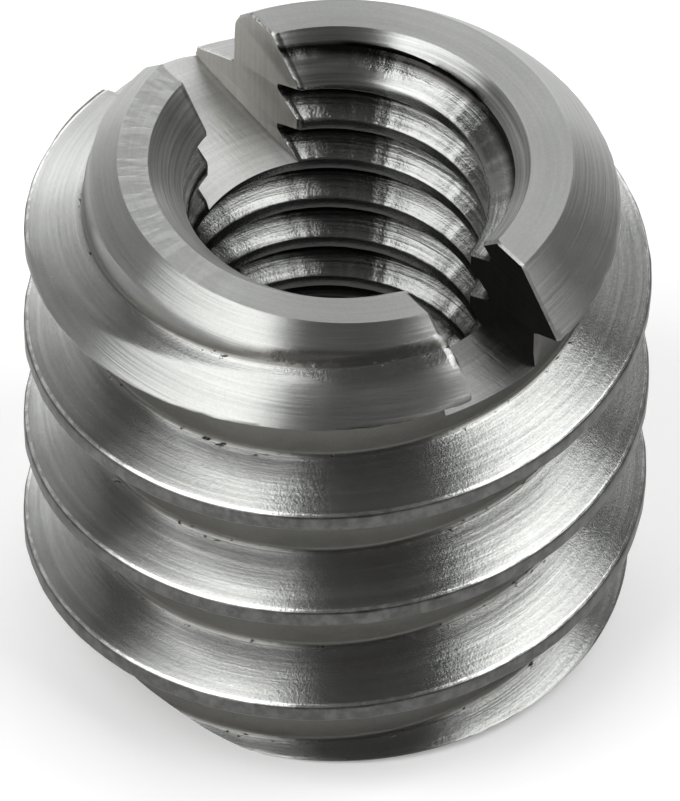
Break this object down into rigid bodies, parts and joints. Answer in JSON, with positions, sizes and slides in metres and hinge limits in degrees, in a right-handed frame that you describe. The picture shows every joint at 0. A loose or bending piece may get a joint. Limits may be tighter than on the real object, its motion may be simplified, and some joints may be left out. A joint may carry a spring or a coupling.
{
  "type": "threaded insert",
  "caption": "Short steel bushing with a coarse thread outside, a machine-screw bore through it and a driver slot across one end; it screws into wood or plastic.",
  "frame": {"origin": "centre of the flat bottom face, on the bore's axis", "axes": "+Z along the bore's axis, from the bottom face to the slotted end; +X along the driver slot"},
  "size_m": [0.014, 0.014, 0.013],
  "materials": {
    "steel": "turned steel, with fine tool lines round the axis and rough, torn spots on the thread flanks"
  },
  "bodies": {
    "root": {"insert": "steel"}
  },
  "joints": []
}
